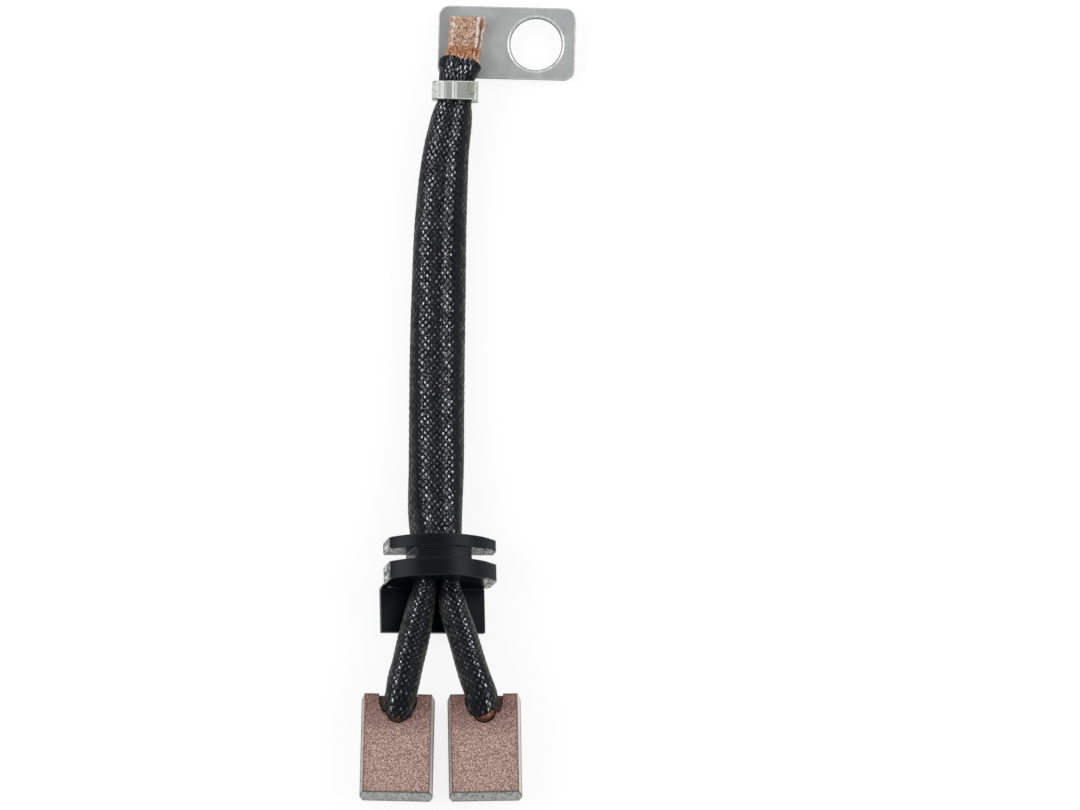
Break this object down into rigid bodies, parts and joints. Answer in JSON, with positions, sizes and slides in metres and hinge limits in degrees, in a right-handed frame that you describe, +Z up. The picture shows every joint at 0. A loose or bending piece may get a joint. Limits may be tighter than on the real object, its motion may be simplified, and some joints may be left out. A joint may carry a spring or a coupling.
{
  "type": "carbon brush",
  "caption": "Starter-motor carbon brush set: graphite blocks on sleeved copper leads that pass a rubber grommet to a flat terminal with a stud hole and a crimp strap.",
  "frame": {"origin": "centre of the terminal's stud hole, at the underside of the plate", "axes": "the part lies on its back: +Z points up, -Y runs along the lead from the terminal to the brushes, X runs across the lead"},
  "size_m": [0.0352, 0.1327, 0.0129],
  "materials": {
    "tinned_steel": "satin",
    "copper": "satin",
    "braid": "satin",
    "rubber_black": "satin",
    "graphite": "matte"
  },
  "bodies": {
    "root": {"terminal": "tinned_steel", "rope_left": "copper", "rope_right": "copper", "long_sleeve": "braid", "grommet": "rubber_black", "sleeve_left": "braid", "sleeve_right": "braid", "brush_left": "graphite", "brush_right": "graphite"}
  },
  "joints": []
}
